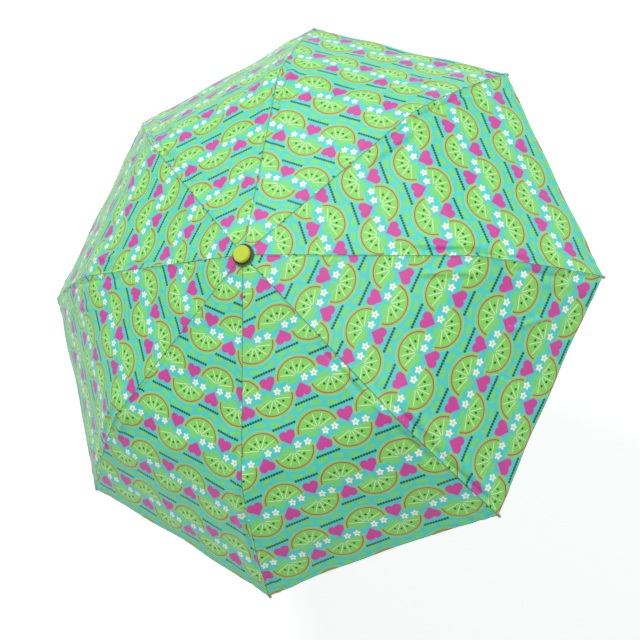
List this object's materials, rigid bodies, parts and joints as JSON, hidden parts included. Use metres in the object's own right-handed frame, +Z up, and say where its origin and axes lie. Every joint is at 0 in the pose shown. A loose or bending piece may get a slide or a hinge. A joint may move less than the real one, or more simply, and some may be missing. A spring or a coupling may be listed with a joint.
{
  "type": "folding umbrella",
  "caption": "Open child's folding umbrella with a printed canopy of sewn gores, jointed folding ribs, a sliding runner and a telescopic shaft on a moulded handle.",
  "frame": {"origin": "centre of the handle's flat end face, where the hand's grip starts", "axes": "+Z up along the shaft towards the canopy, +X along the first rib's plane"},
  "size_m": [0.9, 0.9, 0.612],
  "materials": {
    "grip_plastic": "moulded plastic with a fine texture",
    "plug_plastic": "moulded plastic",
    "tube_steel": "nickel-plated drawn tube",
    "dark_plastic": "moulded nylon",
    "runner_plastic": "moulded nylon",
    "spring_wire": "bright spring steel",
    "rib_steel": "zinc-plated pressed steel",
    "rod_steel": "black-lacquered steel rod",
    "tip_plastic": "moulded plastic",
    "cap_plastic": "glossy moulded plastic",
    "rosette_cloth": "pinked cloth",
    "canopy_cloth": "printed polyester taffeta"
  },
  "bodies": {
    "grip": {"handle": "grip_plastic", "handle_plug": "plug_plastic", "lower_tube": "tube_steel", "tube_bush": "dark_plastic"},
    "shaft": {"upper_tube": "tube_steel", "crown": "dark_plastic", "crown_ring": "spring_wire", "rosette": "rosette_cloth", "top_cap": "cap_plastic", "canopy_panel_1": "canopy_cloth", "canopy_panel_2": "canopy_cloth", "canopy_panel_3": "canopy_cloth", "canopy_panel_4": "canopy_cloth", "canopy_panel_5": "canopy_cloth", "canopy_panel_6": "canopy_cloth", "canopy_panel_7": "canopy_cloth", "canopy_panel_8": "canopy_cloth"},
    "runner": {"runner": "runner_plastic"},
    "tube_catch": {"tube_catch": "spring_wire"},
    "top_catch": {"top_catch": "spring_wire"},
    "inner_rib_1": {"inner_rib_1": "rib_steel"},
    "stretcher_1": {"stretcher_1": "rib_steel"},
    "outer_rib_1": {"outer_rib_1": "rod_steel", "rib_tip_1": "tip_plastic"},
    "link_1": {"link_1": "spring_wire"},
    "inner_rib_2": {"inner_rib_2": "rib_steel"},
    "stretcher_2": {"stretcher_2": "rib_steel"},
    "outer_rib_2": {"outer_rib_2": "rod_steel", "rib_tip_2": "tip_plastic"},
    "link_2": {"link_2": "spring_wire"},
    "inner_rib_3": {"inner_rib_3": "rib_steel"},
    "stretcher_3": {"stretcher_3": "rib_steel"},
    "outer_rib_3": {"outer_rib_3": "rod_steel", "rib_tip_3": "tip_plastic"},
    "link_3": {"link_3": "spring_wire"},
    "inner_rib_4": {"inner_rib_4": "rib_steel"},
    "stretcher_4": {"stretcher_4": "rib_steel"},
    "outer_rib_4": {"outer_rib_4": "rod_steel", "rib_tip_4": "tip_plastic"},
    "link_4": {"link_4": "spring_wire"},
    "inner_rib_5": {"inner_rib_5": "rib_steel"},
    "stretcher_5": {"stretcher_5": "rib_steel"},
    "outer_rib_5": {"outer_rib_5": "rod_steel", "rib_tip_5": "tip_plastic"},
    "link_5": {"link_5": "spring_wire"},
    "inner_rib_6": {"inner_rib_6": "rib_steel"},
    "stretcher_6": {"stretcher_6": "rib_steel"},
    "outer_rib_6": {"outer_rib_6": "rod_steel", "rib_tip_6": "tip_plastic"},
    "link_6": {"link_6": "spring_wire"},
    "inner_rib_7": {"inner_rib_7": "rib_steel"},
    "stretcher_7": {"stretcher_7": "rib_steel"},
    "outer_rib_7": {"outer_rib_7": "rod_steel", "rib_tip_7": "tip_plastic"},
    "link_7": {"link_7": "spring_wire"},
    "inner_rib_8": {"inner_rib_8": "rib_steel"},
    "stretcher_8": {"stretcher_8": "rib_steel"},
    "outer_rib_8": {"outer_rib_8": "rod_steel", "rib_tip_8": "tip_plastic"},
    "link_8": {"link_8": "spring_wire"}
  },
  "joints": [
    {"name": "shaft_slide", "type": "slide", "parent": "grip", "child": "shaft", "axis": [0, 0, -1], "range_m": [0, 0.186], "deforming": ["tube_catch"]},
    {"name": "runner_slide", "type": "slide", "parent": "shaft", "child": "runner", "axis": [0, 0, -1], "range_m": [0, 0.23886], "deforming": ["canopy_panel_1", "canopy_panel_2", "canopy_panel_3", "canopy_panel_4", "canopy_panel_5", "canopy_panel_6", "canopy_panel_7", "canopy_panel_8", "top_catch"]},
    {"name": "tube_catch_press", "type": "slide", "parent": "shaft", "child": "tube_catch", "axis": [-0.9239, -0.3827, 0], "range_m": [0, 0.002], "stiffness_N_per_m": 600},
    {"name": "top_catch_press", "type": "slide", "parent": "shaft", "child": "top_catch", "axis": [-0.9239, -0.3827, 0], "range_m": [0, 0.0026], "stiffness_N_per_m": 600},
    {"name": "crown_hinge_1", "type": "hinge", "parent": "shaft", "child": "inner_rib_1", "pos_m": [0.012, 0, 0.5988], "axis": [0, 1, 0], "range_deg": [0, 78.2]},
    {"name": "rib_hinge_1", "type": "hinge", "parent": "inner_rib_1", "child": "stretcher_1", "pos_m": [0.1564, 0, 0.57125], "axis": [0, -1, 0], "range_deg": [0, 156.4]},
    {"name": "fold_hinge_1", "type": "hinge", "parent": "inner_rib_1", "child": "outer_rib_1", "pos_m": [0.30102, 0, 0.54489], "axis": [0, -1, 0], "range_deg": [0, 202.29]},
    {"name": "link_hinge_1", "type": "hinge", "parent": "stretcher_1", "child": "link_1", "pos_m": [0.14854, 0, 0.56976], "axis": [0, 1, 0], "range_deg": [0, 150.31]},
    {"name": "crown_hinge_2", "type": "hinge", "parent": "shaft", "child": "inner_rib_2", "pos_m": [0.00849, 0.00849, 0.5988], "axis": [-0.7071, 0.7071, 0], "range_deg": [0, 78.2]},
    {"name": "rib_hinge_2", "type": "hinge", "parent": "inner_rib_2", "child": "stretcher_2", "pos_m": [0.11059, 0.11059, 0.57125], "axis": [0.7071, -0.7071, 0], "range_deg": [0, 156.4]},
    {"name": "fold_hinge_2", "type": "hinge", "parent": "inner_rib_2", "child": "outer_rib_2", "pos_m": [0.21285, 0.21285, 0.54489], "axis": [0.7071, -0.7071, 0], "range_deg": [0, 202.29]},
    {"name": "link_hinge_2", "type": "hinge", "parent": "stretcher_2", "child": "link_2", "pos_m": [0.10503, 0.10503, 0.56976], "axis": [-0.7071, 0.7071, 0], "range_deg": [0, 150.31]},
    {"name": "crown_hinge_3", "type": "hinge", "parent": "shaft", "child": "inner_rib_3", "pos_m": [0, 0.012, 0.5988], "axis": [-1, 0, 0], "range_deg": [0, 78.2]},
    {"name": "rib_hinge_3", "type": "hinge", "parent": "inner_rib_3", "child": "stretcher_3", "pos_m": [0, 0.1564, 0.57125], "axis": [1, 0, 0], "range_deg": [0, 156.4]},
    {"name": "fold_hinge_3", "type": "hinge", "parent": "inner_rib_3", "child": "outer_rib_3", "pos_m": [0, 0.30102, 0.54489], "axis": [1, 0, 0], "range_deg": [0, 202.29]},
    {"name": "link_hinge_3", "type": "hinge", "parent": "stretcher_3", "child": "link_3", "pos_m": [0, 0.14854, 0.56976], "axis": [-1, 0, 0], "range_deg": [0, 150.31]},
    {"name": "crown_hinge_4", "type": "hinge", "parent": "shaft", "child": "inner_rib_4", "pos_m": [-0.00849, 0.00849, 0.5988], "axis": [-0.7071, -0.7071, 0], "range_deg": [0, 78.2]},
    {"name": "rib_hinge_4", "type": "hinge", "parent": "inner_rib_4", "child": "stretcher_4", "pos_m": [-0.11059, 0.11059, 0.57125], "axis": [0.7071, 0.7071, 0], "range_deg": [0, 156.4]},
    {"name": "fold_hinge_4", "type": "hinge", "parent": "inner_rib_4", "child": "outer_rib_4", "pos_m": [-0.21285, 0.21285, 0.54489], "axis": [0.7071, 0.7071, 0], "range_deg": [0, 202.29]},
    {"name": "link_hinge_4", "type": "hinge", "parent": "stretcher_4", "child": "link_4", "pos_m": [-0.10503, 0.10503, 0.56976], "axis": [-0.7071, -0.7071, 0], "range_deg": [0, 150.31]},
    {"name": "crown_hinge_5", "type": "hinge", "parent": "shaft", "child": "inner_rib_5", "pos_m": [-0.012, 0, 0.5988], "axis": [0, -1, 0], "range_deg": [0, 78.2]},
    {"name": "rib_hinge_5", "type": "hinge", "parent": "inner_rib_5", "child": "stretcher_5", "pos_m": [-0.1564, 0, 0.57125], "axis": [0, 1, 0], "range_deg": [0, 156.4]},
    {"name": "fold_hinge_5", "type": "hinge", "parent": "inner_rib_5", "child": "outer_rib_5", "pos_m": [-0.30102, 0, 0.54489], "axis": [0, 1, 0], "range_deg": [0, 202.29]},
    {"name": "link_hinge_5", "type": "hinge", "parent": "stretcher_5", "child": "link_5", "pos_m": [-0.14854, 0, 0.56976], "axis": [0, -1, 0], "range_deg": [0, 150.31]},
    {"name": "crown_hinge_6", "type": "hinge", "parent": "shaft", "child": "inner_rib_6", "pos_m": [-0.00849, -0.00849, 0.5988], "axis": [0.7071, -0.7071, 0], "range_deg": [0, 78.2]},
    {"name": "rib_hinge_6", "type": "hinge", "parent": "inner_rib_6", "child": "stretcher_6", "pos_m": [-0.11059, -0.11059, 0.57125], "axis": [-0.7071, 0.7071, 0], "range_deg": [0, 156.4]},
    {"name": "fold_hinge_6", "type": "hinge", "parent": "inner_rib_6", "child": "outer_rib_6", "pos_m": [-0.21285, -0.21285, 0.54489], "axis": [-0.7071, 0.7071, 0], "range_deg": [0, 202.29]},
    {"name": "link_hinge_6", "type": "hinge", "parent": "stretcher_6", "child": "link_6", "pos_m": [-0.10503, -0.10503, 0.56976], "axis": [0.7071, -0.7071, 0], "range_deg": [0, 150.31]},
    {"name": "crown_hinge_7", "type": "hinge", "parent": "shaft", "child": "inner_rib_7", "pos_m": [0, -0.012, 0.5988], "axis": [1, 0, 0], "range_deg": [0, 78.2]},
    {"name": "rib_hinge_7", "type": "hinge", "parent": "inner_rib_7", "child": "stretcher_7", "pos_m": [0, -0.1564, 0.57125], "axis": [-1, 0, 0], "range_deg": [0, 156.4]},
    {"name": "fold_hinge_7", "type": "hinge", "parent": "inner_rib_7", "child": "outer_rib_7", "pos_m": [0, -0.30102, 0.54489], "axis": [-1, 0, 0], "range_deg": [0, 202.29]},
    {"name": "link_hinge_7", "type": "hinge", "parent": "stretcher_7", "child": "link_7", "pos_m": [0, -0.14854, 0.56976], "axis": [1, 0, 0], "range_deg": [0, 150.31]},
    {"name": "crown_hinge_8", "type": "hinge", "parent": "shaft", "child": "inner_rib_8", "pos_m": [0.00849, -0.00849, 0.5988], "axis": [0.7071, 0.7071, 0], "range_deg": [0, 78.2]},
    {"name": "rib_hinge_8", "type": "hinge", "parent": "inner_rib_8", "child": "stretcher_8", "pos_m": [0.11059, -0.11059, 0.57125], "axis": [-0.7071, -0.7071, 0], "range_deg": [0, 156.4]},
    {"name": "fold_hinge_8", "type": "hinge", "parent": "inner_rib_8", "child": "outer_rib_8", "pos_m": [0.21285, -0.21285, 0.54489], "axis": [-0.7071, -0.7071, 0], "range_deg": [0, 202.29]},
    {"name": "link_hinge_8", "type": "hinge", "parent": "stretcher_8", "child": "link_8", "pos_m": [0.10503, -0.10503, 0.56976], "axis": [0.7071, 0.7071, 0], "range_deg": [0, 150.31]}
  ],
  "couplings": [
    {"joint": "crown_hinge_1", "follows": "runner_slide", "rad_per_m": 5.7138},
    {"joint": "rib_hinge_1", "follows": "runner_slide", "rad_per_m": 11.428},
    {"joint": "fold_hinge_1", "follows": "runner_slide", "rad_per_m": 14.78},
    {"joint": "link_hinge_1", "follows": "runner_slide", "rad_per_m": 10.983},
    {"joint": "crown_hinge_2", "follows": "runner_slide", "rad_per_m": 5.7138},
    {"joint": "rib_hinge_2", "follows": "runner_slide", "rad_per_m": 11.428},
    {"joint": "fold_hinge_2", "follows": "runner_slide", "rad_per_m": 14.78},
    {"joint": "link_hinge_2", "follows": "runner_slide", "rad_per_m": 10.983},
    {"joint": "crown_hinge_3", "follows": "runner_slide", "rad_per_m": 5.7138},
    {"joint": "rib_hinge_3", "follows": "runner_slide", "rad_per_m": 11.428},
    {"joint": "fold_hinge_3", "follows": "runner_slide", "rad_per_m": 14.78},
    {"joint": "link_hinge_3", "follows": "runner_slide", "rad_per_m": 10.983},
    {"joint": "crown_hinge_4", "follows": "runner_slide", "rad_per_m": 5.7138},
    {"joint": "rib_hinge_4", "follows": "runner_slide", "rad_per_m": 11.428},
    {"joint": "fold_hinge_4", "follows": "runner_slide", "rad_per_m": 14.78},
    {"joint": "link_hinge_4", "follows": "runner_slide", "rad_per_m": 10.983},
    {"joint": "crown_hinge_5", "follows": "runner_slide", "rad_per_m": 5.7138},
    {"joint": "rib_hinge_5", "follows": "runner_slide", "rad_per_m": 11.428},
    {"joint": "fold_hinge_5", "follows": "runner_slide", "rad_per_m": 14.78},
    {"joint": "link_hinge_5", "follows": "runner_slide", "rad_per_m": 10.983},
    {"joint": "crown_hinge_6", "follows": "runner_slide", "rad_per_m": 5.7138},
    {"joint": "rib_hinge_6", "follows": "runner_slide", "rad_per_m": 11.428},
    {"joint": "fold_hinge_6", "follows": "runner_slide", "rad_per_m": 14.78},
    {"joint": "link_hinge_6", "follows": "runner_slide", "rad_per_m": 10.983},
    {"joint": "crown_hinge_7", "follows": "runner_slide", "rad_per_m": 5.7138},
    {"joint": "rib_hinge_7", "follows": "runner_slide", "rad_per_m": 11.428},
    {"joint": "fold_hinge_7", "follows": "runner_slide", "rad_per_m": 14.78},
    {"joint": "link_hinge_7", "follows": "runner_slide", "rad_per_m": 10.983},
    {"joint": "crown_hinge_8", "follows": "runner_slide", "rad_per_m": 5.7138},
    {"joint": "rib_hinge_8", "follows": "runner_slide", "rad_per_m": 11.428},
    {"joint": "fold_hinge_8", "follows": "runner_slide", "rad_per_m": 14.78},
    {"joint": "link_hinge_8", "follows": "runner_slide", "rad_per_m": 10.983}
  ]
}
